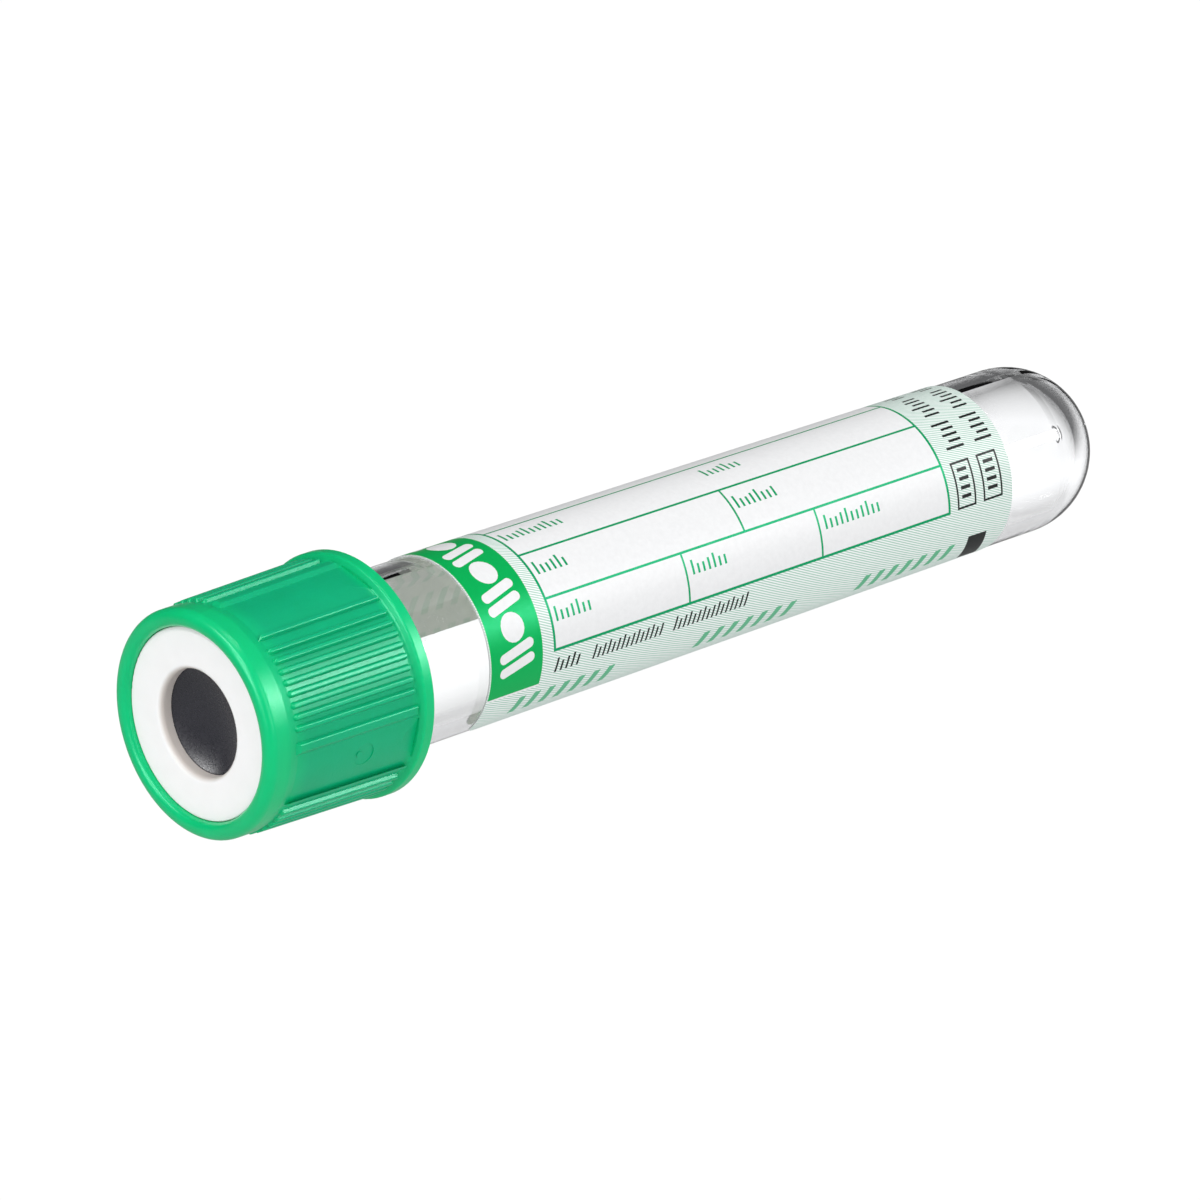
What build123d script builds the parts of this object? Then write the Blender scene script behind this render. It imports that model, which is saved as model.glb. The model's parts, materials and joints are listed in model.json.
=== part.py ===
from build123d import *
import math
import os

os.makedirs("parts", exist_ok=True)

# ---------------------------------------------------------------------------
# Blood collection tube, 13 x 75 mm, with a screw-on closure.  Millimetres.
# "s" is the distance along the tube's axis from the outer face of the ring
# towards the round bottom, "r" the distance from that axis.
# ---------------------------------------------------------------------------

# tube
tube_length = 75.0            # rim to round bottom
tube_neck_r = 6.50            # outside radius from the rim to the end of the cap
tube_end_r = 6.147            # outside radius of the straight stretch before the round bottom
tube_bottom_r = 6.147         # outside radius of the round bottom
s_dome = 78.15                # centre of the round bottom
s_draft = 14.0                # start of the drafted stretch
s_land = 72.9                 # its end: the rest is straight, up to the round bottom
s_rim = s_dome + tube_bottom_r - tube_length
wall = 0.95
bore_rim_r = tube_neck_r - wall
bore_end_r = tube_end_r - wall
bottom_thick = 1.05
gate_recess_r = 0.78
gate_recess_depth = 0.24
gate_nub_r = 0.32

# screw thread shared by tube and cap: three short lugs on each
thread_lead = 12.0
thread_starts = 3
tube_lug_sweep = 60.0         # degrees of turn that a tube lug covers
cap_lug_sweep = 45.0
cap_lug_lag = 6.0             # degrees from the start of a tube lug to the cap lug
lug_s = 10.25                 # axial place of the start of a tube lug
lug_offset = 0.85             # axial step from a tube lug to the cap lug behind it
tube_lug_r = 7.00             # crest radius of the tube lugs
cap_lug_r = 6.62              # crest radius of the cap lugs
lug_base = 0.80
lug_top = 0.45

# cap
cap_front = -0.55             # crest of the front lip
cap_rear = 13.90
lip_r = 7.45
rim_r = 8.20                  # outside of the front rim
s_rim_flat = 1.25             # end of the rim's straight outside
s_floor = 1.98                # where the surface between the ribs begins
floor_front_r = 8.07          # smooth surface between the ribs, front end
floor_rear_r = 8.26           # the same, rear end
bead_r = 8.80
bead_edge = 0.12              # bevel of the bead's rear edge
s_rib_front = 1.85
s_rib_rear = 12.60
rib_height = 0.27
rib_width = 0.52
rib_step = 40.0 / 7.0         # degrees between fine ribs
ribs_per_group = 8
band_inner = 26.9             # degrees from the middle of a group
band_outer = 33.5
group_turn = 147.5            # degrees from +Y towards +Z to the middle of one group
groups = 4
seat_r = 6.90                 # recess for the ring
seat_s = 0.85
flange_hole_r = 4.65
flange_rear = 2.40
cap_bore_r = 7.15
retain_r = 6.85               # inner bead that keeps the stopper in the cap
scoop_front = 11.45
scoop_rear = 12.78

# ring
ring_r = 6.87
ring_hole_r = 3.85
hub_r = 4.60                  # short hub that centres the ring in the cap
hub_s = 1.00
ring_mouth = 0.42             # rounding of the hole's mouth

# stopper
face_s = 1.03                 # edge of the dished face
dish_s = 1.95                 # bottom of the dish, a shallow bowl
boss_r = 4.55
head_r = 7.00
head_front = 2.42
plug_r = 5.50
plug_groove_r = 5.36
plug_end = 13.00

# label
label_start = 21.04
label_end = 72.50
label_thick = 0.10
label_from = -28.4            # degrees
label_sweep = 260.9
label_corner = 1.1

# ---------------------------------------------------------------------------
# How it lies: the cap's bead and the round bottom both touch the surface, so
# the axis drops a little towards the round bottom.
# ---------------------------------------------------------------------------
bead_s = cap_rear - bead_edge
a_, b_, c_ = s_dome - bead_s, bead_r, -tube_bottom_r
lie = math.asin(c_ / math.hypot(a_, b_)) + math.atan2(b_, a_)
cos_l, sin_l = math.cos(lie), math.sin(lie)
height0 = bead_s * sin_l + bead_r * cos_l
front_x = cap_front * cos_l - (lip_r + 0.1) * sin_l
rear_x = s_dome * cos_l + tube_bottom_r
shift_x = -(front_x + rear_x) / 2.0

along = Vector(cos_l, 0, -sin_l)        # from the ring towards the round bottom
side = Vector(0, 1, 0)
up = Vector(sin_l, 0, cos_l)
start = Vector(shift_x, 0, height0)     # centre of the ring's outer face


def on_axis(s):
    return start + along * s


def radial(turn):
    a = math.radians(turn)
    return side * math.cos(a) + up * math.sin(a)


def profile_plane(turn=90.0):
    """Plane through the axis: local x is s, local y is r, towards the given turn."""
    out = radial(turn)
    return Plane(origin=start, x_dir=along, z_dir=along.cross(out))


def cross_plane(s, turn=0.0):
    """Plane across the axis at s, local x towards the given turn."""
    return Plane(origin=on_axis(s), x_dir=radial(turn), z_dir=along)


def skin_plane(s, r, turn, slope=0.0):
    """Plane tangent to the outside at s, r: local x along the tube, local z outwards."""
    out = radial(turn)
    d = (along + out * slope).normalized()
    n = (out - along * slope).normalized()
    return Plane(origin=on_axis(s) + out * r, x_dir=d, z_dir=n)


tube_axis = Axis(on_axis(0), along)
draft = (floor_rear_r - floor_front_r) / (s_rib_rear - s_rib_front)


def floor_at(s):
    return floor_front_r + draft * (s - s_rib_front)


# ---------------------------------------------------------------------------
# Tube
# ---------------------------------------------------------------------------
s_apex = s_dome + tube_bottom_r
bore_s = s_apex - bottom_thick - bore_end_r       # centre of the inside of the bottom
rim_edge = 0.22

# a lug of the tube and one of the cap, each shaped about its own upright axis
with BuildPart() as tube_lug:
    with BuildLine() as tube_lug_path:
        Helix(
            pitch=thread_lead,
            height=thread_lead * tube_lug_sweep / 360.0,
            radius=tube_neck_r,
        )
    with BuildSketch(
        Plane(origin=tube_lug_path.line @ 0, x_dir=(1, 0, 0), z_dir=tube_lug_path.line % 0)
    ):
        with BuildLine():
            Polyline(
                (-0.25, -lug_base / 2),
                (0.0, -lug_base / 2),
                (tube_lug_r - tube_neck_r, -lug_top / 2),
                (tube_lug_r - tube_neck_r, lug_top / 2),
                (0.0, lug_base / 2),
                (-0.25, lug_base / 2),
                close=True,
            )
        make_face()
    sweep(path=tube_lug_path.line, is_frenet=True)

with BuildPart() as cap_lug:
    with BuildLine() as cap_lug_path:
        Helix(
            pitch=thread_lead,
            height=thread_lead * cap_lug_sweep / 360.0,
            radius=cap_bore_r,
        )
    with BuildSketch(
        Plane(origin=cap_lug_path.line @ 0, x_dir=(1, 0, 0), z_dir=cap_lug_path.line % 0)
    ):
        with BuildLine():
            Polyline(
                (0.25, -lug_base / 2),
                (0.0, -lug_base / 2),
                (cap_lug_r - cap_bore_r, -lug_top / 2),
                (cap_lug_r - cap_bore_r, lug_top / 2),
                (0.0, lug_base / 2),
                (0.25, lug_base / 2),
                close=True,
            )
        make_face()
    sweep(path=cap_lug_path.line, is_frenet=True)

with BuildPart() as tube:
    with BuildSketch(profile_plane()) as tube_section:
        with BuildLine():
            Polyline(
                (s_rim, bore_rim_r + rim_edge),
                (s_rim, tube_neck_r - rim_edge),
                (s_rim + rim_edge, tube_neck_r),
                (s_draft, tube_neck_r),
                (s_land, tube_end_r),
                (s_dome, tube_end_r),
            )
            ThreePointArc(
                (s_dome, tube_end_r),
                (s_dome + tube_bottom_r * math.sin(math.pi / 4), tube_bottom_r * math.cos(math.pi / 4)),
                (s_apex, 0),
            )
            Line((s_apex, 0), (s_apex - bottom_thick, 0))
            ThreePointArc(
                (s_apex - bottom_thick, 0),
                (bore_s + bore_end_r * math.sin(math.pi / 4), bore_end_r * math.cos(math.pi / 4)),
                (bore_s, bore_end_r),
            )
            Polyline((bore_s, bore_end_r), (s_rim + 0.45, bore_rim_r), (s_rim, bore_rim_r + rim_edge))
        make_face()
    revolve(axis=tube_axis)
    # moulding gate: a shallow round recess with a small stub in its middle
    with BuildSketch(cross_plane(s_apex - gate_recess_depth)) as gate_ring:
        Circle(gate_recess_r)
        Circle(gate_nub_r, mode=Mode.SUBTRACT)
    extrude(amount=2.0, mode=Mode.SUBTRACT)
    # thread lugs, right-handed about the direction that points to the bottom
    with Locations(*[cross_plane(lug_s, 360.0 / thread_starts * k) for k in range(thread_starts)]):
        add(tube_lug.part)

# ---------------------------------------------------------------------------
# Stopper
# ---------------------------------------------------------------------------
with BuildPart() as stopper:
    with BuildSketch(profile_plane()) as stopper_section:
        with BuildLine():
            ThreePointArc(
                (dish_s, 0),
                (face_s + (dish_s - face_s) * 0.757, ring_hole_r * 0.49),
                (face_s, ring_hole_r - 0.06),
            )
            FilletPolyline(
                (face_s, ring_hole_r - 0.06),
                (face_s, boss_r),
                (head_front, boss_r),
                (head_front, head_r - 0.3),
                (head_front + 0.4, head_r),
                (s_rim - 0.42, head_r),
                (s_rim - 0.02, head_r - 0.4),
                (s_rim - 0.02, plug_groove_r),
                (s_rim + 0.75, plug_groove_r),
                (s_rim + 0.9, plug_r),
                (s_rim + 1.45, plug_r),
                (s_rim + 1.6, plug_groove_r),
                (s_rim + 2.1, plug_groove_r),
                (s_rim + 2.25, plug_r),
                (s_rim + 2.8, plug_r),
                (plug_end, plug_r - 0.45),
                (plug_end, 3.1),
                (8.0, 2.6),
                (7.6, 0),
                radius=[0.1] + [0] * 13 + [0.2, 0.2, 0.5],
            )
            Line((7.6, 0), (dish_s, 0))
        make_face()
    revolve(axis=tube_axis)

# ---------------------------------------------------------------------------
# Ring
# ---------------------------------------------------------------------------
with BuildPart() as ring:
    with BuildSketch(profile_plane()) as ring_section:
        with BuildLine():
            FilletPolyline(
                (0.0, ring_hole_r),
                (0.0, ring_r),
                (seat_s, ring_r),
                (seat_s, hub_r),
                (hub_s, hub_r),
                (hub_s, ring_hole_r),
                radius=[ring_mouth, 0.08, 0.0, 0.0, 0.0, 0.0],
                close=True,
            )
        make_face()
    revolve(axis=tube_axis)

# ---------------------------------------------------------------------------
# Cap: a grip rib and an edge band are shaped flat, then set round the outside
# ---------------------------------------------------------------------------
rib_length = s_rib_rear - s_rib_front
rib_sink = 0.30                                   # how far a rib starts below the surface
rib_mid = (s_rib_front + s_rib_rear) / 2
flank = 24.0                                      # degrees that a rib's side leans

with BuildPart() as grip_rib:
    with BuildSketch(Plane.XY):
        SlotOverall(
            rib_length + 2 * rib_sink * math.tan(math.radians(flank)),
            rib_width + 2 * rib_sink * math.tan(math.radians(flank)),
        )
    extrude(amount=rib_sink + rib_height, taper=flank)
    fillet(grip_rib.faces().sort_by(Axis.Z)[-1].edges(), 0.11)

band_mid = (band_inner + band_outer) / 2
band_half = math.radians((band_outer - band_inner) / 2) * floor_at(rib_mid)
with BuildPart() as edge_band:
    with BuildSketch(Plane.XY.offset(-rib_sink)):
        with BuildLine():
            Polyline(
                (-rib_length / 2 - 0.45, -band_half - 0.28),
                (rib_length / 2 + 0.25, -band_half - 0.28),
                (rib_length / 2 + 0.25, band_half + 0.10),
                (-rib_length / 2 - 0.45, band_half + 0.10),
                close=True,
            )
        make_face()
    with BuildSketch(Plane.XY.offset(rib_height)):
        with BuildLine():
            Polyline(
                (-rib_length / 2 + 0.22, -band_half + 0.30),
                (rib_length / 2 - 0.05, -band_half + 0.30),
                (rib_length / 2 - 0.05, band_half - 0.09),
                (-rib_length / 2 + 0.22, band_half - 0.09),
                close=True,
            )
        make_face()
    loft(ruled=True)
    fillet(edge_band.faces().sort_by(Axis.Z)[-1].edges(), 0.12)

with BuildPart() as edge_band_other:
    add(edge_band.part)
    mirror(about=Plane.XZ)
    add(edge_band.part, mode=Mode.SUBTRACT)

rib_places = []
band_places = []
band_other_places = []
panel_turns = []
for g in range(groups):
    mid = group_turn + 360.0 / groups * g
    panel_turns.append(mid + 180.0 / groups)
    band_places.append(skin_plane(rib_mid, floor_at(rib_mid), mid + band_mid, draft))
    band_other_places.append(skin_plane(rib_mid, floor_at(rib_mid), mid - band_mid, draft))
    for i in range(ribs_per_group):
        rib_places.append(
            skin_plane(
                rib_mid,
                floor_at(rib_mid) - rib_sink,
                mid + rib_step * (i - (ribs_per_group - 1) / 2),
                draft,
            )
        )

with BuildPart() as cap:
    with BuildSketch(profile_plane()) as cap_section:
        with BuildLine():
            FilletPolyline(
                (seat_s, seat_r),
                (cap_front, seat_r + 0.02),
                (cap_front, rim_r),
                (s_rim_flat, rim_r),
                (s_floor, floor_at(s_floor)),
                (s_rib_rear + 0.10, floor_at(s_rib_rear + 0.10)),
                (12.98, bead_r),
                (cap_rear - bead_edge, bead_r),
                (cap_rear, bead_r - bead_edge),
                (cap_rear, cap_bore_r + 0.35),
                (cap_rear - 0.35, cap_bore_r),
                (s_rim + 0.62, cap_bore_r),
                (s_rim + 0.36, retain_r),
                (s_rim + 0.20, retain_r),
                (s_rim - 0.06, cap_bore_r),
                (flange_rear, cap_bore_r),
                (flange_rear, flange_hole_r),
                (seat_s, flange_hole_r),
                radius=[0, 0.55, 0.68, 0.9, 0.5, 0.3, 0.2, 0, 0, 0.12, 0, 0, 0, 0, 0, 0.3, 0.1, 0.1],
                close=True,
            )
        make_face()
    revolve(axis=tube_axis)
    with Locations(*rib_places):
        add(grip_rib.part)
    with Locations(*band_places):
        add(edge_band.part)
    with Locations(*band_other_places):
        add(edge_band_other.part)
    # half-round flat at the rear end of each smooth panel
    for turn in panel_turns:
        with BuildSketch(profile_plane(turn)) as scoop_section:
            with BuildLine():
                Polyline(
                    (scoop_front, floor_at(scoop_front)),
                    (scoop_rear, floor_at(scoop_rear) - 0.11),
                    (scoop_rear, floor_at(scoop_rear) + 0.6),
                    (scoop_front, floor_at(scoop_front) + 0.6),
                    close=True,
                )
            make_face()
        extrude(amount=1.6, both=True, mode=Mode.SUBTRACT)
    # small round mould mark on one smooth panel
    with BuildSketch(skin_plane(8.1, floor_at(8.1) - 0.07, group_turn + 45.0, draft)) as mark:
        Circle(0.86)
        with Locations((-0.42, 0.1)):
            Circle(0.22, mode=Mode.SUBTRACT)
    extrude(amount=0.5, mode=Mode.SUBTRACT)
    # inside lugs, one behind each tube lug
    cap_lug_s = lug_s + lug_offset + thread_lead * cap_lug_lag / 360.0
    with Locations(
        *[cross_plane(cap_lug_s, 360.0 / thread_starts * k + cap_lug_lag) for k in range(thread_starts)]
    ):
        add(cap_lug.part)

# ---------------------------------------------------------------------------
# Label: one sheet round most of the tube, corners rounded
# ---------------------------------------------------------------------------
tube_draft = (tube_neck_r - tube_end_r) / (s_land - s_draft)


def tube_at(s):
    return tube_neck_r - tube_draft * (s - s_draft)


with BuildPart() as label:
    with BuildSketch(profile_plane(label_from)) as label_section:
        with BuildLine():
            Polyline(
                (label_start, tube_at(label_start)),
                (label_end, tube_at(label_end)),
                (label_end, tube_at(label_end) + label_thick),
                (label_start, tube_at(label_start) + label_thick),
                close=True,
            )
        make_face()
    revolve(axis=tube_axis, revolution_arc=label_sweep)
    # rounded corners: local y of a skin plane points against the turn
    for s_end, inward in ((label_start, 1), (label_end, -1)):
        for turn, back in ((label_from, -1), (label_from + label_sweep, 1)):
            with BuildSketch(skin_plane(s_end, tube_at(s_end) - 0.4, turn)) as corner:
                with BuildLine():
                    Polyline(
                        (inward * label_corner, 0),
                        (inward * label_corner, -back * 0.6),
                        (-inward * 0.6, -back * 0.6),
                        (-inward * 0.6, back * label_corner),
                        (0, back * label_corner),
                    )
                    RadiusArc(
                        (0, back * label_corner),
                        (inward * label_corner, 0),
                        label_corner * inward * back,
                    )
                make_face()
            extrude(amount=1.0, mode=Mode.SUBTRACT)

tube.part.label = "tube"
stopper.part.label = "stopper"
ring.part.label = "ring"
cap.part.label = "cap"
label.part.label = "label"

export_step(tube.part, "parts/tube.step")
export_step(stopper.part, "parts/stopper.step")
export_step(ring.part, "parts/ring.step")
export_step(cap.part, "parts/cap.step")
export_step(label.part, "parts/label.step")

print("lie_deg", round(math.degrees(lie), 4), "start", tuple(round(v, 4) for v in start))
print("rim at s", round(s_rim, 3), "overall", round(s_apex - cap_front, 3))
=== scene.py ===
import json
import math
import random

import bmesh
import bpy
from mathutils import Matrix, Vector
from mathutils.geometry import delaunay_2d_cdt


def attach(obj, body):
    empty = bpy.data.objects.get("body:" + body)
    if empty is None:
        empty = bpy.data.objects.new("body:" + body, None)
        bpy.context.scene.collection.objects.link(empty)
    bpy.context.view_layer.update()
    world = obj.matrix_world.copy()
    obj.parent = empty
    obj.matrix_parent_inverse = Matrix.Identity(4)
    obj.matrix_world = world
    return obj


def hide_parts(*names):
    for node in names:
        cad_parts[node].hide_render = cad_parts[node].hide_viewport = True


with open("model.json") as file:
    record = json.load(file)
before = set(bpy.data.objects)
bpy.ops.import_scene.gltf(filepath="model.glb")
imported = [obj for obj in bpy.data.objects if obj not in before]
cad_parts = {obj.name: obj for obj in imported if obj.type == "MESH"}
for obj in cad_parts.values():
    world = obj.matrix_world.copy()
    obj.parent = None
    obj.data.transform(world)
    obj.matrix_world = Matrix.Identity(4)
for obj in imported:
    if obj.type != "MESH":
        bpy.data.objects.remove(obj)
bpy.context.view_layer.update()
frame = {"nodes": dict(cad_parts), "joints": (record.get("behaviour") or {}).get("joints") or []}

MM = 0.001
NODES = frame["nodes"]

# ---------------------------------------------------------------------------
# The tube's own axes.  s is the distance along the axis from the ring's outer
# face (mm), r the distance from the axis (mm), turn the angle about the axis
# (degrees, 0 = +Y, 90 = up).
# ---------------------------------------------------------------------------
twist = [j for j in frame["joints"] if j["name"] == "cap_twist"][0]
OUT = Vector(twist["axis"]).normalized()
ALONG = -OUT
START = Vector(twist["pos_m"]) - ALONG * 0.006
SIDE = Vector((0.0, 1.0, 0.0))
UP = ALONG.cross(SIDE).normalized()

S_DRAFT, S_LAND, S_DOME = 14.0, 72.9, 78.15
R_NECK, R_END = 6.50, 6.147


def radial(turn):
    a = math.radians(turn)
    return SIDE * math.cos(a) + UP * math.sin(a)


def at(s, r, turn):
    return START + (ALONG * s + radial(turn) * r) * MM


def tube_r(s):
    t = min(max((s - S_DRAFT) / (S_LAND - S_DRAFT), 0.0), 1.0)
    return R_NECK + (R_END - R_NECK) * t


# ---------------------------------------------------------------------------
# Node helpers
# ---------------------------------------------------------------------------
class Nodes:
    """One material's node tree with a Principled shader."""

    def __init__(self, name):
        self.mat = bpy.data.materials.new(name)
        self.mat.use_nodes = True
        self.tree = self.mat.node_tree
        self.tree.nodes.clear()
        self.out = self.new("ShaderNodeOutputMaterial")
        self.bsdf = self.new("ShaderNodeBsdfPrincipled")
        self.link(self.bsdf.outputs["BSDF"], self.out.inputs["Surface"])

    def new(self, kind, **values):
        n = self.tree.nodes.new(kind)
        for k, v in values.items():
            setattr(n, k, v)
        return n

    def link(self, a, b):
        self.tree.links.new(a, b)

    def set(self, **values):
        for k, v in values.items():
            self.bsdf.inputs[k.replace("_", " ")].default_value = v

    def coords(self):
        return self.new("ShaderNodeTexCoord").outputs["Object"]

    def along(self):
        """s in mm, from the rest coordinates."""
        d = self.new("ShaderNodeVectorMath", operation="SUBTRACT")
        self.link(self.coords(), d.inputs[0])
        d.inputs[1].default_value = START
        p = self.new("ShaderNodeVectorMath", operation="DOT_PRODUCT")
        self.link(d.outputs[0], p.inputs[0])
        p.inputs[1].default_value = ALONG / MM
        return p.outputs["Value"]

    def radius(self):
        """r in mm, from the rest coordinates."""
        d = self.new("ShaderNodeVectorMath", operation="SUBTRACT")
        self.link(self.coords(), d.inputs[0])
        d.inputs[1].default_value = START
        c = self.new("ShaderNodeVectorMath", operation="CROSS_PRODUCT")
        self.link(d.outputs[0], c.inputs[0])
        c.inputs[1].default_value = ALONG / MM
        n = self.new("ShaderNodeVectorMath", operation="LENGTH")
        self.link(c.outputs[0], n.inputs[0])
        return n.outputs["Value"]

    def noise(self, scale, detail=2.0, rough=0.5, vector=None):
        n = self.new("ShaderNodeTexNoise")
        n.inputs["Scale"].default_value = scale
        n.inputs["Detail"].default_value = detail
        n.inputs["Roughness"].default_value = rough
        self.link(vector or self.coords(), n.inputs["Vector"])
        return n.outputs["Fac"]

    def ramp(self, fac, stops, mode="LINEAR"):
        n = self.new("ShaderNodeValToRGB")
        cr = n.color_ramp
        cr.interpolation = mode
        while len(cr.elements) < len(stops):
            cr.elements.new(0.5)
        for e, (p, c) in zip(cr.elements, stops):
            e.position = p
            e.color = (*c, 1.0) if len(c) == 3 else c
        self.link(fac, n.inputs["Fac"])
        return n.outputs["Color"]

    def spread(self, value, a, b, c, d, clamp=True):
        n = self.new("ShaderNodeMapRange", clamp=clamp)
        self.link(value, n.inputs["Value"])
        for k, v in zip(("From Min", "From Max", "To Min", "To Max"), (a, b, c, d)):
            n.inputs[k].default_value = v
        return n.outputs["Result"]

    def math(self, op, a, b=None, c=None):
        n = self.new("ShaderNodeMath", operation=op)
        for i, v in enumerate((a, b, c)):
            if v is None:
                continue
            if isinstance(v, (int, float)):
                n.inputs[i].default_value = v
            else:
                self.link(v, n.inputs[i])
        return n.outputs[0]

    def mix(self, fac, a, b, blend="MIX"):
        n = self.new("ShaderNodeMix", data_type="RGBA", blend_type=blend)
        for key, v in ((0, fac), (6, a), (7, b)):
            if isinstance(v, (int, float)):
                n.inputs[key].default_value = v
            elif isinstance(v, tuple):
                n.inputs[key].default_value = (*v, 1.0)
            else:
                self.link(v, n.inputs[key])
        return n.outputs[2]

    def bump(self, height, distance, strength=1.0):
        n = self.new("ShaderNodeBump")
        n.inputs["Strength"].default_value = strength
        n.inputs["Distance"].default_value = distance
        self.link(height, n.inputs["Height"])
        self.link(n.outputs["Normal"], self.bsdf.inputs["Normal"])


def give(obj, mat):
    obj.data.materials.clear()
    obj.data.materials.append(mat)


# ---------------------------------------------------------------------------
# Materials
# ---------------------------------------------------------------------------
def clear_pet():
    m = Nodes("clear_pet")
    m.set(Base_Color=(1.0, 1.0, 1.0, 1), IOR=1.575, Transmission_Weight=1.0)
    r = m.spread(m.noise(900.0, 3.0), 0.35, 0.75, 0.0, 0.012)
    m.link(r, m.bsdf.inputs["Roughness"])
    m.bump(m.noise(260.0, 2.0), 0.00001, 0.3)
    return m.mat


def grey_rubber():
    m = Nodes("grey_rubber")
    c = m.ramp(m.noise(5200.0, 4.0), [(0.35, (0.0165, 0.0165, 0.024)), (0.7, (0.023, 0.023, 0.032))])
    m.link(c, m.bsdf.inputs["Base Color"])
    r = m.spread(m.noise(5200.0, 2.0), 0.3, 0.7, 0.25, 0.31)
    m.link(r, m.bsdf.inputs["Roughness"])
    m.bsdf.inputs["Specular IOR Level"].default_value = 0.7
    m.bump(m.noise(7000.0, 3.0), 0.00001, 0.5)
    return m.mat


def white_plastic():
    m = Nodes("white_plastic")
    c = m.ramp(m.noise(700.0, 4.0), [(0.3, (0.925, 0.92, 0.91)), (0.75, (0.955, 0.95, 0.94))])
    # the hole's wall is painted a darker warm grey: painted shade inside the hole
    c = m.mix(m.spread(m.radius(), 3.9, 4.15, 1.0, 0.0), c, (0.70, 0.64, 0.60))
    m.link(c, m.bsdf.inputs["Base Color"])
    r = m.spread(m.noise(2600.0, 3.0), 0.3, 0.7, 0.40, 0.52)
    m.link(r, m.bsdf.inputs["Roughness"])
    m.set(Subsurface_Weight=0.12, Subsurface_Scale=0.0006)
    m.bsdf.inputs["Subsurface Radius"].default_value = (1.0, 0.9, 0.8)
    m.bump(m.noise(5200.0, 2.0), 0.000006, 0.5)
    return m.mat


def green_plastic():
    m = Nodes("green_plastic")
    s = m.along()
    body = m.ramp(m.noise(420.0, 3.0), [(0.3, (0.001, 0.385, 0.165)), (0.75, (0.001, 0.41, 0.18))])
    # lighter green for the front collar and rear bead, mixed in below: painted light where these ends catch more
    # light
    light = m.ramp(m.noise(420.0, 3.0), [(0.3, (0.001, 0.51, 0.175)), (0.75, (0.001, 0.55, 0.19))])
    front = m.spread(s, 0.8, 3.2, 1.0, 0.0)
    rear = m.spread(s, 12.2, 13.1, 0.0, 1.0)
    ends = m.math("MAXIMUM", front, rear)
    m.link(m.mix(ends, body, light), m.bsdf.inputs["Base Color"])
    r = m.spread(m.noise(2200.0, 3.0), 0.3, 0.7, 0.30, 0.40)
    m.link(r, m.bsdf.inputs["Roughness"])
    m.set(Subsurface_Weight=0.15, Subsurface_Scale=0.0007, Specular_Tint=(0.04, 1.0, 0.66, 1),
          Coat_Weight=0.45, Coat_Roughness=0.24)
    m.bsdf.inputs["Subsurface Radius"].default_value = (0.25, 1.0, 0.5)
    m.bump(m.noise(5600.0, 2.0), 0.000012, 0.5)
    return m.mat


PAPER = (0.785, 0.785, 0.785)
HATCH_GROUND = (0.88, 0.885, 0.875)
HATCH_LINE = (0.40, 0.60, 0.50)
GREEN_INK = (0.001, 0.40, 0.082)
GHOST_INK = (0.10, 0.46, 0.24)
DARK_INK = (0.019, 0.021, 0.020)
LINE_INK = (0.001, 0.31, 0.11)


def label_material(name, ink=None, hatch=False, rough=(0.29, 0.38)):
    """Semi-gloss paper with a faint fibre grain; ink is the colour printed on it."""
    m = Nodes(name)
    grain = m.noise(2600.0, 4.0, 0.6)
    base = ink or (HATCH_GROUND if hatch else PAPER)
    dark = tuple(v * 0.95 for v in base)
    c = m.ramp(grain, [(0.3, dark), (0.7, base)])
    if hatch:
        uv = m.new("ShaderNodeUVMap", uv_map="print")
        d = m.new("ShaderNodeVectorMath", operation="DOT_PRODUCT")
        m.link(uv.outputs["UV"], d.inputs[0])
        d.inputs[1].default_value = (2.29 * 2 * math.pi, -5.07 * 2 * math.pi, 0.0)
        wave = m.math("SINE", d.outputs["Value"])
        f = m.spread(wave, -0.55, 0.55, 0.0, 1.0)
        line = m.ramp(grain, [(0.3, tuple(v * 0.95 for v in HATCH_LINE)), (0.7, HATCH_LINE)])
        c = m.mix(f, c, line)
    m.link(c, m.bsdf.inputs["Base Color"])
    if ink in (GREEN_INK, LINE_INK):
        m.set(Specular_Tint=(0.06, 1.0, 0.6, 1))
    elif ink is None:
        m.bsdf.inputs["Specular IOR Level"].default_value = 0.08
    elif ink == DARK_INK:
        m.bsdf.inputs["Specular IOR Level"].default_value = 0.12
    r = m.spread(m.noise(3400.0, 3.0), 0.3, 0.7, *rough)
    m.link(r, m.bsdf.inputs["Roughness"])
    m.bump(grain, 0.000004, 0.4)
    return m.mat


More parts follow.
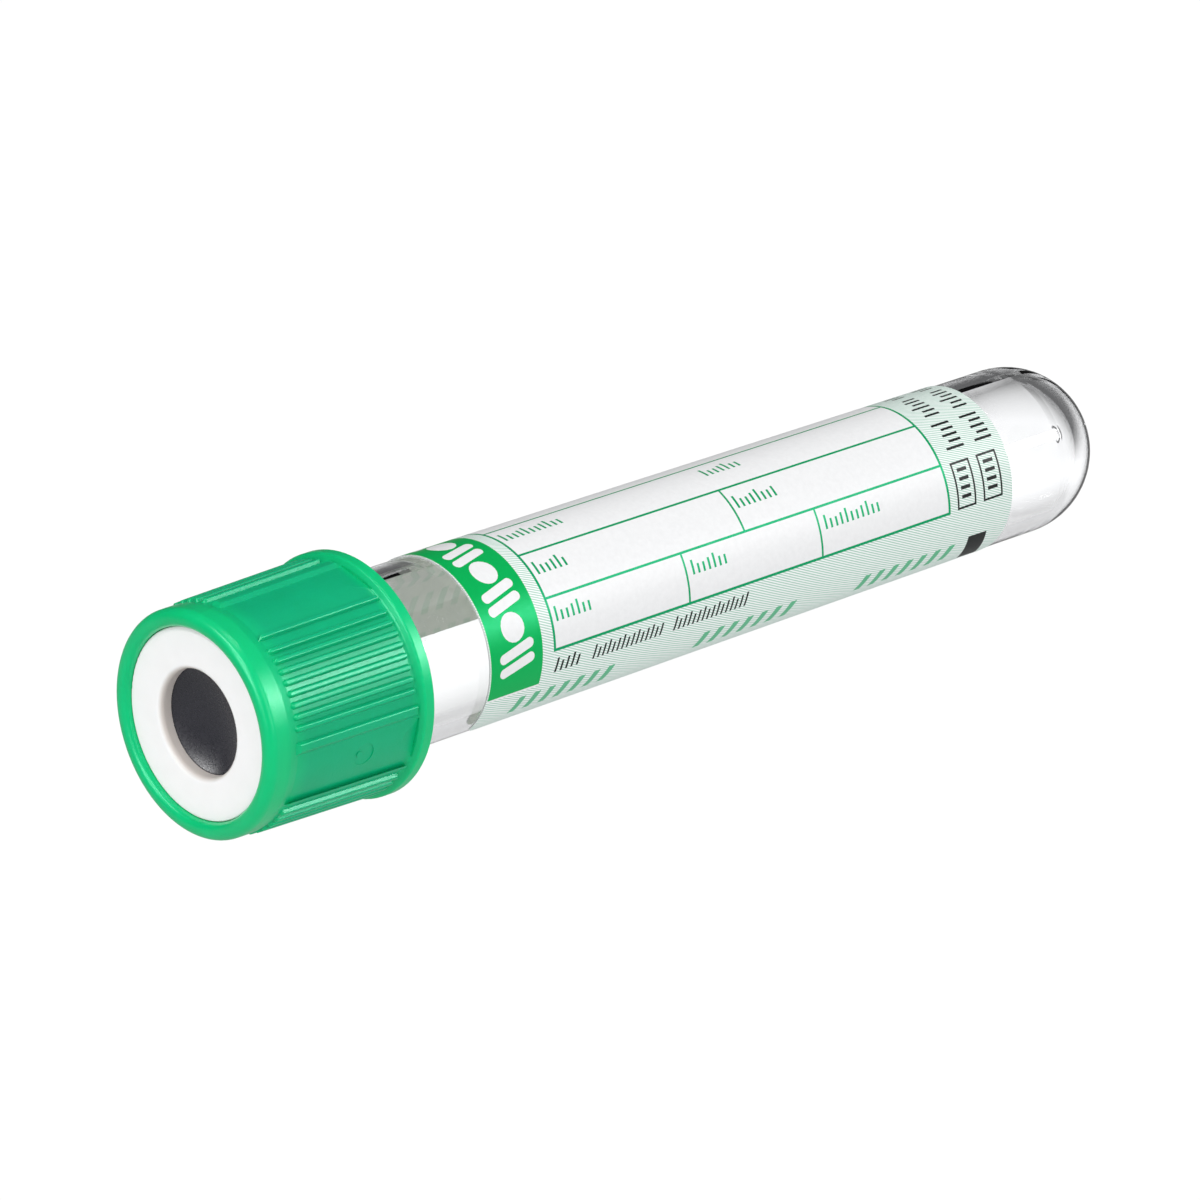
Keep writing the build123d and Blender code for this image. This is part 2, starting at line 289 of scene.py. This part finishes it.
def label_back():
    m = Nodes("label_back")
    paper = m.ramp(m.noise(1200.0, 4.0, 0.6), [(0.3, (0.76, 0.785, 0.71)), (0.7, (0.82, 0.845, 0.77))])
    uv = m.new("ShaderNodeUVMap", uv_map="print")
    part = m.new("ShaderNodeSeparateXYZ")
    m.link(uv.outputs["UV"], part.inputs[0])
    # the pale leaning bars of the front, seen faintly through the sheet
    lean = m.math("MULTIPLY_ADD", part.outputs["Y"], -0.25, part.outputs["X"])
    wave = m.math("SINE", m.math("MULTIPLY", lean, 2 * math.pi / 1.42))
    bars = m.spread(wave, -0.1, 0.35, 0.0, 1.0)
    row = m.math("SINE", m.math("MULTIPLY_ADD", part.outputs["Y"], 2 * math.pi / 3.4, 1.1))
    rows = m.spread(row, -0.35, 0.0, 0.0, 1.0)
    faint = m.math("MULTIPLY", m.math("MULTIPLY", bars, rows), m.spread(m.noise(330.0, 2.0), 0.35, 0.6, 0.25, 0.6))
    c = m.mix(faint, paper, (0.46, 0.62, 0.50))
    m.link(c, m.bsdf.inputs["Base Color"])
    # the back glows faintly, greener under the show-through bars: painted light standing in for light passing
    # through the thin paper
    m.link(m.mix(faint, (0.93, 1.0, 0.92), (0.62, 0.9, 0.68)), m.bsdf.inputs["Emission Color"])
    m.set(Roughness=0.55, Emission_Strength=0.17)
    m.bump(m.noise(2600.0, 3.0), 0.000004, 0.4)
    return m.mat


# ---------------------------------------------------------------------------
# Label: one sheet, its print cut into the surface as crisp regions
# ---------------------------------------------------------------------------
K = math.radians(1.0) * 6.37      # mm of label per degree of turn
L0, L1 = 21.04, 72.50
T0, T1 = -23.0, 232.5
CORNER = 1.1
SKIN = 0.10                        # label's outside above the tube
GLUE = -0.03                       # its back sits in the tube's skin, as a glued label does

HATCH, WHITE, GREEN, GHOST, DARK, BACK, LINE = range(7)
prints = []                        # (region, polygon in (s, turn))


def poly(region, pts):
    prints.append((region, pts))


def rect(region, s0, s1, t0, t1):
    poly(region, [(s0, t0), (s1, t0), (s1, t1), (s0, t1)])


def band_line(region, s0, s1, turn, w):
    rect(region, s0, s1, turn - w / 2 / K, turn + w / 2 / K)


def cross_line(region, s, t0, t1, w):
    rect(region, s - w / 2, s + w / 2, t0, t1)


def bar(region, s, top, low, w, lean=0.0):
    """A short bar across the label from turn top to turn low, leaning by lean mm."""
    poly(region, [(s + lean, top), (s + lean + w, top), (s + w, low), (s, low)])


def disc(region, s, turn, r, n=20):
    poly(region, [(s + r * math.cos(2 * math.pi * i / n), turn + r * math.sin(2 * math.pi * i / n) / K) for i in range(n)])


def pill(region, s, turn, length, width, angle, n=8):
    """A rounded bar whose long side leans by angle from the s direction."""
    a = math.radians(angle)
    pts = []
    for end in (1, -1):
        for i in range(n + 1):
            b = -math.pi / 2 + math.pi * i / n
            x = end * ((length - width) / 2 + width / 2 * math.cos(b))
            y = end * width / 2 * math.sin(b)
            pts.append((s + x * math.cos(a) - y * math.sin(a), turn + (x * math.sin(a) + y * math.cos(a)) / K))
    poly(region, pts)


# colour band along the front edge
rect(WHITE, L0 + 0.09, 27.15, 46.0, 200.0)
rect(GREEN, L0 + 0.10, 26.0, 47.6, 198.5)
turn, k = 57.0, 0
while turn < 190.0:
    if k % 2:
        disc(WHITE, 23.6, turn, 1.05)
    else:
        pill(WHITE, 23.6, turn - 4.6, 3.3, 0.72, -14.0)
        pill(WHITE, 23.6, turn + 4.6, 3.3, 0.72, -14.0)
    turn += 19.6
    k += 1
rect(HATCH, 26.0, 27.12, 46.0, 200.0)

# writing box with its rows
B0, B1 = 27.15, 66.05
rect(WHITE, B0, B1, 47.6, 177.7)
for t in (47.6, 177.7):
    band_line(LINE, B0 - 0.11, B1 + 0.11, t, 0.21)
for s in (B0, B1):
    cross_line(LINE, s, 47.6, 177.7, 0.21)
for t in (145.0, 112.5, 80.1):
    band_line(LINE, B0, B1, t, 0.18)
cross_line(LINE, 46.45, 112.5, 145.0, 0.18)
cross_line(LINE, 40.15, 145.0, 177.7, 0.18)
cross_line(LINE, 53.25, 145.0, 177.7, 0.18)


def caption(s0, t0, count, tall=9.4, region=LINE, w=0.2, pitch=0.52):
    """A field's caption: a row of plain upright strokes."""
    for i in range(count):
        top = t0 + tall * (0.0, 0.34, 0.34, 0.18)[i % 4]
        bar(region, s0 + i * pitch, top, t0 + tall, w)


caption(27.6, 151.0, 7)
caption(40.75, 151.0, 7)
caption(53.85, 151.0, 11)
caption(27.65, 119.9, 6)
caption(46.95, 119.9, 8)
caption(27.65, 87.6, 11)
caption(46.95, 87.6, 7)

# a dark line of strokes below the box: two short, then two longer groups
def strokes(region, s0, s1, top, low, w, pitch, lean):
    n = int((s1 - s0 - w) / pitch + 0.5)
    for i in range(n + 1):
        tt = top if i % 3 == 0 else top + (low - top) * (0.26 if i % 3 == 1 else 0.12)
        bar(region, s0 + i * pitch, tt, low, w, lean * (low - tt) / (low - top))


strokes(DARK, 27.25, 29.6, 183.5, 193.4, 0.2, 0.52, 0.22)
strokes(DARK, 30.9, 37.5, 183.5, 193.4, 0.18, 0.46, 0.22)
strokes(DARK, 38.7, 45.6, 183.5, 193.4, 0.18, 0.46, 0.22)

# pale groups of broad leaning bars, in rows down to the lower edge and on the far side
for row, t0 in enumerate((205.2,)):
    for s0 in (24.1, 41.9, 57.9):
        for i in range(7):
            bar(GHOST, s0 + i * 1.42, t0, t0 + 14.6, 0.62, 0.42)
for t0 in (-30.0, 2.0):
    for s0 in (33.0, 50.0):
        for i in range(7):
            bar(GHOST, s0 + i * 1.42, t0, t0 + 14.6, 0.62, 0.42)

# end of the label: two outlined boxes, two columns of ticks and a block
for s0, s1 in ((66.9, 68.8), (69.55, 71.5)):
    rect(DARK, s0, s1, 145.5, 177.5)
    rect(HATCH, s0 + 0.17, s1 - 0.17, 145.5 + 0.17 / K, 177.5 - 0.17 / K)
    for t in (150.2, 156.2, 162.2, 168.2):
        rect(DARK, s0 + 0.48, s1 - 0.48, t, t + 2.4)
for s0, s1, n in ((67.25, 69.0, 19), (70.1, 71.8, 19)):
    for i in range(n):
        if i % 7 != 5:
            rect(DARK, s0 + (0.0, 0.55, 0.3, 0.55)[i % 4], s1, 135.2 - 4.75 * i, 137.0 - 4.75 * i)
poly(DARK, [(68.61, 202.1), (70.48, 202.5), (71.23, 230.9), (69.23, 229.2)])


def inset(t):
    """How far the rounded corners pull the label's ends in at this turn."""
    d = min(t - T0, T1 - t) * K
    return 0.0 if d >= CORNER else CORNER - math.sqrt(max(CORNER ** 2 - (CORNER - d) ** 2, 0.0))


def build_label():
    verts, edges, faces = [], [], []
    # turns that get a line along the label, so that the sheet bends round the tube
    steps = [CORNER / K * (1 - math.cos(math.radians(15 * i))) for i in range(7)]
    turns = [T0 + d for d in steps]
    n = 108
    a, b = T0 + CORNER / K, T1 - CORNER / K
    turns += [a + (b - a) * i / n for i in range(1, n)]
    turns += [T1 - d for d in reversed(steps)]
    crossings = [30.0, 34.0, 38.0, 42.0, 46.0, 50.0, 54.0, 58.0, 62.0, 65.0]

    def put(s, t):
        verts.append(Vector((s, t * K)))
        return len(verts) - 1

    low = [put(L0 + inset(t), t) for t in turns]
    high = [put(L1 - inset(t), t) for t in turns]
    first = [put(s, T0) for s in crossings]
    last = [put(s, T1) for s in crossings]
    faces.append([low[0]] + first + high + last[::-1] + low[:0:-1])
    edges += [(p, q) for p, q in zip(low[1:-1], high[1:-1])]
    edges += [(p, q) for p, q in zip(first, last)]
    for region, pts in prints:
        area = sum(p[0] * q[1] - q[0] * p[1] for p, q in zip(pts, pts[1:] + pts[:1]))
        i0 = len(verts)
        verts.extend(Vector((s, t * K)) for s, t in (pts if area > 0 else pts[::-1]))
        faces.append(list(range(i0, i0 + len(pts))))
    v, e, f, _, _, owner = delaunay_2d_cdt(verts, edges, faces, 1, 1e-5, True)
    flat, regions = [], []
    for tri, own in zip(f, owner):
        if 0 not in own:
            continue
        top = max(own)
        regions.append(HATCH if top == 0 else prints[top - 1][0])
        flat.append(tuple(tri))
    # the outline's own vertices, in order, for the rim
    used = sorted({i for tri in flat for i in tri})
    index = {old: new for new, old in enumerate(used)}
    flat = [tuple(index[i] for i in tri) for tri in flat]
    pts = [v[i] for i in used]
    count = {}
    for a, b, c in flat:
        for x, y in ((a, b), (b, c), (c, a)):
            count[(x, y)] = count.get((x, y), 0) + 1
    border = {x: y for (x, y) in count if (y, x) not in count}
    # mesh: outer skin, inner skin, rim
    N = len(pts)
    co = []
    for q in pts:
        co.append(at(q.x, tube_r(q.x) + SKIN, q.y / K))
    for q in pts:
        co.append(at(q.x, tube_r(q.x) + GLUE, q.y / K))
    polys, mats, kind = [], [], []
    for tri, reg in zip(flat, regions):
        polys.append(tri[::-1]); mats.append(reg); kind.append("out")
    for tri in flat:
        polys.append(tuple(i + N for i in tri)); mats.append(BACK); kind.append("in")
    for x, y in border.items():
        polys.append((x, y, y + N, x + N)); mats.append(WHITE); kind.append("rim")
    me = bpy.data.meshes.new("label_sheet")
    me.from_pydata(co, [], polys)
    me.polygons.foreach_set("material_index", mats)
    me.polygons.foreach_set("use_smooth", [True] * len(polys))
    uv_print = me.uv_layers.new(name="print")
    uv_bake = me.uv_layers.new(name="OFBake")
    du, dv = L1 - L0 + 1.0, (T1 - T0) * K + 1.0
    slope = Vector((0, 0, 0))
    cone = (R_NECK - R_END) / (S_LAND - S_DRAFT)
    normals = []
    li = 0
    for p, kd in zip(polys, kind):
        if kd == "rim":
            q = [pts[i % N] for i in p]
            mid_s = (q[0].x + q[1].x) / 2
            mid_t = (q[0].y + q[1].y) / 2 / K
            a, b = co[p[0]], co[p[1]]
            nrm = (b - a).cross(co[p[3]] - a).normalized()
            centre = at(mid_s, tube_r(mid_s), mid_t)
        for i in p:
            q = pts[i % N]
            t = q.y / K
            uv_print.data[li].uv = (q.x, q.y)
            u = (q.x - L0 + 0.5) / du
            w = (q.y - T0 * K + 0.5) / dv
            n3 = (radial(t) + ALONG * cone).normalized()
            if kd == "out":
                uv_bake.data[li].uv = (0.01 + 0.98 * u, 0.01 + 0.485 * w)
                normals.append(n3)
            elif kd == "in":
                uv_bake.data[li].uv = (0.01 + 0.98 * u, 0.505 + 0.485 * w)
                normals.append(-n3)
            else:
                inner = i >= N
                uv_bake.data[li].uv = (0.01 + 0.98 * u, 0.01 + 0.485 * w) if not inner else (
                    0.01 + 0.98 * u + 0.004 * (1 if q.x > (L0 + L1) / 2 else -1), 0.01 + 0.485 * w + 0.003)
                normals.append(nrm)
            li += 1
    me.update()
    me.normals_split_custom_set(normals)
    ob = bpy.data.objects.new("label_sheet", me)
    bpy.context.scene.collection.objects.link(ob)
    for mat in (
        label_material("label_hatch", hatch=True),
        label_material("label_white"),
        label_material("label_green", GREEN_INK),
        label_material("label_pale_green", GHOST_INK),
        label_material("label_dark", DARK_INK),
        label_back(),
        label_material("label_line", LINE_INK),
    ):
        me.materials.append(mat)
    print("label: triangles", len(polys), "border", len(border))
    return ob


label = build_label()
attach(label, "tube")
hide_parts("label")

# ---------------------------------------------------------------------------
# Dried additive: tiny domes on the inner wall, just behind the stopper
# ---------------------------------------------------------------------------
def build_droplets():
    rnd = random.Random(7)
    bm = bmesh.new()
    centres = [(17.2, 138.0), (17.9, 133.5), (18.6, 138.5), (19.4, 129.0), (20.1, 136.0), (16.4, 142.0)]
    spots = []
    for s, t in centres:
        for _ in range(8):
            spots.append((s + rnd.gauss(0, 0.45), t + rnd.gauss(0, 3.6), rnd.uniform(0.018, 0.05)))
    for s, t, r in spots:
        wall = 5.535 - 0.006 * (s - 14)
        n = -radial(t)
        x = ALONG
        y = n.cross(x)
        o = at(s, wall, t)
        rings, seg = 4, 10
        grid = []
        for i in range(1, rings + 1):
            a = math.pi / 2 * i / rings
            grid.append([bm.verts.new(o + (x * math.cos(2 * math.pi * j / seg) + y * math.sin(2 * math.pi * j / seg)) * math.sin(a) * r * MM
                         + n * (math.cos(a) * r * 0.55 - 0.006) * MM) for j in range(seg)])
        top = bm.verts.new(o + n * (r * 0.55 - 0.006) * MM)
        for j in range(seg):
            bm.faces.new((top, grid[0][j], grid[0][(j + 1) % seg]))
            for i in range(rings - 1):
                bm.faces.new((grid[i][j], grid[i + 1][j], grid[i + 1][(j + 1) % seg], grid[i][(j + 1) % seg]))
        bm.faces.new(list(reversed(grid[-1])))
    bmesh.ops.recalc_face_normals(bm, faces=bm.faces)
    me = bpy.data.meshes.new("dried_additive")
    bm.to_mesh(me)
    bm.free()
    for p in me.polygons:
        p.use_smooth = len(p.vertices) < 5
    ob = bpy.data.objects.new("dried_additive", me)
    bpy.context.scene.collection.objects.link(ob)
    m = Nodes("dried_additive")
    c = m.ramp(m.noise(9000.0, 2.0), [(0.3, (0.88, 0.88, 0.84)), (0.7, (0.96, 0.96, 0.93))])
    m.link(c, m.bsdf.inputs["Base Color"])
    m.set(Roughness=0.4, IOR=1.45, Transmission_Weight=0.25)
    me.materials.append(m.mat)
    return ob


drops = build_droplets()
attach(drops, "tube")


# ---------------------------------------------------------------------------
# Gate mark: the clouded ring that the moulding gate leaves in the recess of the bottom
# ---------------------------------------------------------------------------
def build_gate_mark():
    base = S_DOME + R_END - 0.24
    bm = bmesh.new()
    for r0, r1 in ((0.58, 0.765),):
        section = [(-0.05, r0), (0.012, r0 + 0.01), (0.024, (r0 + r1) / 2), (0.012, r1 - 0.01), (-0.05, r1)]
        rings = []
        for i in range(72):
            turn = 5.0 * i
            wave = 0.006 * math.sin(math.radians(turn * 5))
            rings.append([bm.verts.new(at(base + ds, r + wave, turn)) for ds, r in section])
        for i in range(72):
            a, b = rings[i], rings[(i + 1) % 72]
            for j in range(len(section)):
                k = (j + 1) % len(section)
                bm.faces.new((a[j], a[k], b[k], b[j]))
    bmesh.ops.recalc_face_normals(bm, faces=bm.faces)
    me = bpy.data.meshes.new("gate_mark")
    bm.to_mesh(me)
    bm.free()
    for f in me.polygons:
        f.use_smooth = True
    ob = bpy.data.objects.new("gate_mark", me)
    bpy.context.scene.collection.objects.link(ob)
    m = Nodes("clouded_pet")
    c = m.ramp(m.noise(2400.0, 3.0), [(0.3, (0.40, 0.40, 0.41)), (0.7, (0.56, 0.55, 0.56))])
    m.link(c, m.bsdf.inputs["Base Color"])
    m.link(m.spread(m.noise(1900.0, 2.0), 0.3, 0.7, 0.45, 0.7), m.bsdf.inputs["Roughness"])
    m.bump(m.noise(4200.0, 2.0), 0.00001, 0.5)
    me.materials.append(m.mat)
    return ob


gate_mark = build_gate_mark()
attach(gate_mark, "tube")

# ---------------------------------------------------------------------------
# Finishes of the CAD pieces
# ---------------------------------------------------------------------------
give(NODES["tube"], clear_pet())
give(NODES["stopper"], grey_rubber())
give(NODES["ring"], white_plastic())
give(NODES["cap"], green_plastic())

# ---------------------------------------------------------------------------
# Stage
# ---------------------------------------------------------------------------
def build_floor():
    bm = bmesh.new()
    bmesh.ops.create_grid(bm, x_segments=2, y_segments=2, size=0.2)
    me = bpy.data.meshes.new("floor")
    bm.to_mesh(me)
    bm.free()
    ob = bpy.data.objects.new("floor", me)
    ob.location = (0, 0, -0.00005)
    bpy.context.scene.collection.objects.link(ob)
    m = Nodes("floor")
    c = m.ramp(m.noise(3.0, 2.0), [(0.3, (0.115, 0.115, 0.115)), (0.7, (0.125, 0.125, 0.125))])
    m.link(c, m.bsdf.inputs["Base Color"])
    m.set(Roughness=0.9, Emission_Color=(1, 1, 1, 1), Emission_Strength=1.0)
    away = m.new("ShaderNodeVectorMath", operation="LENGTH")
    m.link(m.coords(), away.inputs[0])
    m.link(m.spread(away.outputs["Value"], 0.05, 0.19, 0.3, 0.0), m.bsdf.inputs["Alpha"])
    m.bsdf.inputs["Specular IOR Level"].default_value = 0.0
    me.materials.append(m.mat)
    return ob


floor = build_floor()


WORLD = (-0.45, 0.85, 0.075, 0.34)
BELOW = (-0.07, -0.45, 0.05, 1.27)
DEEP = (-0.47, -0.66, 1.0, 0.52)


SHEEN_ON = bpy.data.collections.new("sheen_receivers")
for piece in (NODES["cap"], NODES["ring"], NODES["stopper"], label):
    SHEEN_ON.objects.link(piece)
RUBBER_ON = bpy.data.collections.new("rubber_receivers")
RUBBER_ON.objects.link(NODES["stopper"])


def soft_light(name, direction, distance, size, size_y, power, along=None, sheen=None):
    """A rectangular soft light that looks at the tube; along sets its long side, and
    sheen makes it one that only the gloss of those pieces shows."""
    d = Vector(direction).normalized()
    data = bpy.data.lights.new(name, "AREA")
    data.shape = "RECTANGLE"
    data.size, data.size_y = size, size_y
    data.energy = power
    ob = bpy.data.objects.new(name, data)
    x = Vector(along or (1, 0, 0))
    x = (x - d * x.dot(d)).normalized()
    y = d.cross(x)
    ob.matrix_world = Matrix.Translation(d * distance) @ Matrix((x, y, d)).transposed().to_4x4()
    bpy.context.scene.collection.objects.link(ob)
    ob.visible_camera = False
    if sheen:
        ob.visible_diffuse = False
        ob.visible_transmission = False
        ob.light_linking.receiver_collection = sheen
    return ob


soft_light("key", (0.64, -0.67, 0.38), 1.2, 0.4, 0.2, 1.6, along=ALONG)
for i, wide in enumerate((0.24, 0.42, 0.60, 0.78, 0.96)):
    soft_light("sheen_%d" % i, (0.64, -0.67, 0.38), 1.25 + 0.01 * i, 0.34 + 0.2 * wide, wide,
               2.3 * wide, along=ALONG, sheen=SHEEN_ON)
soft_light("side", (-0.05, -0.88, 0.42), 1.2, 0.55, 0.9, 3.5, along=ALONG)
soft_light("gloss_front", (-0.87, -0.07, 0.48), 1.2, 0.55, 0.55, 6.0, along=(0, 1, 0), sheen=SHEEN_ON)
soft_light("rubber_edge", (-0.77, 0.53, 0.34), 1.2, 0.85, 0.11, 4.6, along=(0.21, 0.42, -0.09), sheen=RUBBER_ON)
soft_light("end", (-0.92, -0.28, 0.26), 1.2, 0.6, 0.6, 1.5, along=(0, 1, 0))
soft_light("top", (0.1, 0.05, 0.98), 1.2, 0.8, 0.4, 2.6, along=ALONG)
soft_light("front", (-0.62, 0.05, 0.78), 1.2, 0.9, 0.09, 5.4, along=(0, 1, 0))

world = bpy.data.worlds.new("studio")
world.use_nodes = True
wt = world.node_tree
wt.nodes.clear()


def wnode(kind, **values):
    n = wt.nodes.new(kind)
    for key, v in values.items():
        setattr(n, key, v)
    return n


# the room is light on the camera's side and overhead, dark behind the tube
wo = wnode("ShaderNodeOutputWorld")
mix = wnode("ShaderNodeMixShader")
path = wnode("ShaderNodeLightPath")
coord = wnode("ShaderNodeTexCoord")
dot = wnode("ShaderNodeVectorMath", operation="DOT_PRODUCT")
dot.inputs[1].default_value = Vector((-0.40, -0.68, 0.62)).normalized()
level = wnode("ShaderNodeMapRange", interpolation_type="SMOOTHSTEP")
for key, v in zip(("From Min", "From Max", "To Min", "To Max"), WORLD):
    level.inputs[key].default_value = v
bg_look = wnode("ShaderNodeBackground")
bg_look.inputs["Color"].default_value = (1, 1, 1, 1)
bg_look.inputs["Strength"].default_value = 1.0
bg_light = wnode("ShaderNodeBackground")
bg_light.inputs["Color"].default_value = (0.97, 0.98, 1.0, 1)
wt.links.new(coord.outputs["Generated"], dot.inputs[0])
wt.links.new(dot.outputs["Value"], level.inputs["Value"])
# beyond the small floor the table goes on below; gloss shows a dimmer room
height = wnode("ShaderNodeSeparateXYZ")
below = wnode("ShaderNodeMapRange", interpolation_type="SMOOTHSTEP")
for key, v in zip(("From Min", "From Max", "To Min", "To Max"), BELOW):
    below.inputs[key].default_value = v
# straight under the tube the table lies in its own shade
deep = wnode("ShaderNodeMapRange")
for key, v in zip(("From Min", "From Max", "To Min", "To Max"), DEEP):
    deep.inputs[key].default_value = v
table = wnode("ShaderNodeMath", operation="MULTIPLY")
gloss = wnode("ShaderNodeMath", operation="SUBTRACT")
plain = wnode("ShaderNodeMath", operation="MAXIMUM")
seen = wnode("ShaderNodeMath", operation="MULTIPLY")
gain = wnode("ShaderNodeMath", operation="MULTIPLY_ADD")
room = wnode("ShaderNodeMath", operation="MULTIPLY")
total = wnode("ShaderNodeMath", operation="MAXIMUM")
gloss.inputs[0].default_value = 1.0
gain.inputs[1].default_value = 1.45
gain.inputs[2].default_value = 0.55
wt.links.new(coord.outputs["Generated"], height.inputs[0])
wt.links.new(height.outputs["Z"], below.inputs["Value"])
wt.links.new(height.outputs["Z"], deep.inputs["Value"])
wt.links.new(below.outputs["Result"], table.inputs[0])
wt.links.new(deep.outputs["Result"], table.inputs[1])
wt.links.new(table.outputs[0], seen.inputs[0])
wt.links.new(path.outputs["Is Glossy Ray"], gloss.inputs[1])
wt.links.new(gloss.outputs[0], plain.inputs[0])
wt.links.new(path.outputs["Is Transmission Ray"], plain.inputs[1])
wt.links.new(plain.outputs[0], seen.inputs[1])
wt.links.new(plain.outputs[0], gain.inputs[0])
wt.links.new(level.outputs["Result"], room.inputs[0])
wt.links.new(gain.outputs[0], room.inputs[1])
wt.links.new(seen.outputs[0], total.inputs[0])
wt.links.new(room.outputs[0], total.inputs[1])
wt.links.new(total.outputs[0], bg_light.inputs["Strength"])
wt.links.new(path.outputs["Is Camera Ray"], mix.inputs[0])
wt.links.new(bg_light.outputs[0], mix.inputs[1])
wt.links.new(bg_look.outputs[0], mix.inputs[2])
wt.links.new(mix.outputs[0], wo.inputs["Surface"])
bpy.context.scene.world = world

scene = bpy.context.scene
scene.view_settings.view_transform = "Standard"
scene.view_settings.look = "None"

cam_data = bpy.data.cameras.new("camera")
cam_data.sensor_width = 36.0
cam_data.lens = 299.64
cam_data.clip_start = 0.01
cam_data.clip_end = 30.0
cam = bpy.data.objects.new("camera", cam_data)
right = Vector((0.72964, -0.68383, 0.0))
upv = Vector((0.28465, 0.30371, 0.90925))
fwd = Vector((0.62177, 0.66343, -0.41625))
cam.matrix_world = Matrix.Translation(START + Vector((-399.643, -466.44, 290.196)) * MM) @ Matrix((right, upv, -fwd)).transposed().to_4x4()
scene.collection.objects.link(cam)
scene.camera = cam

bpy.context.view_layer.update()
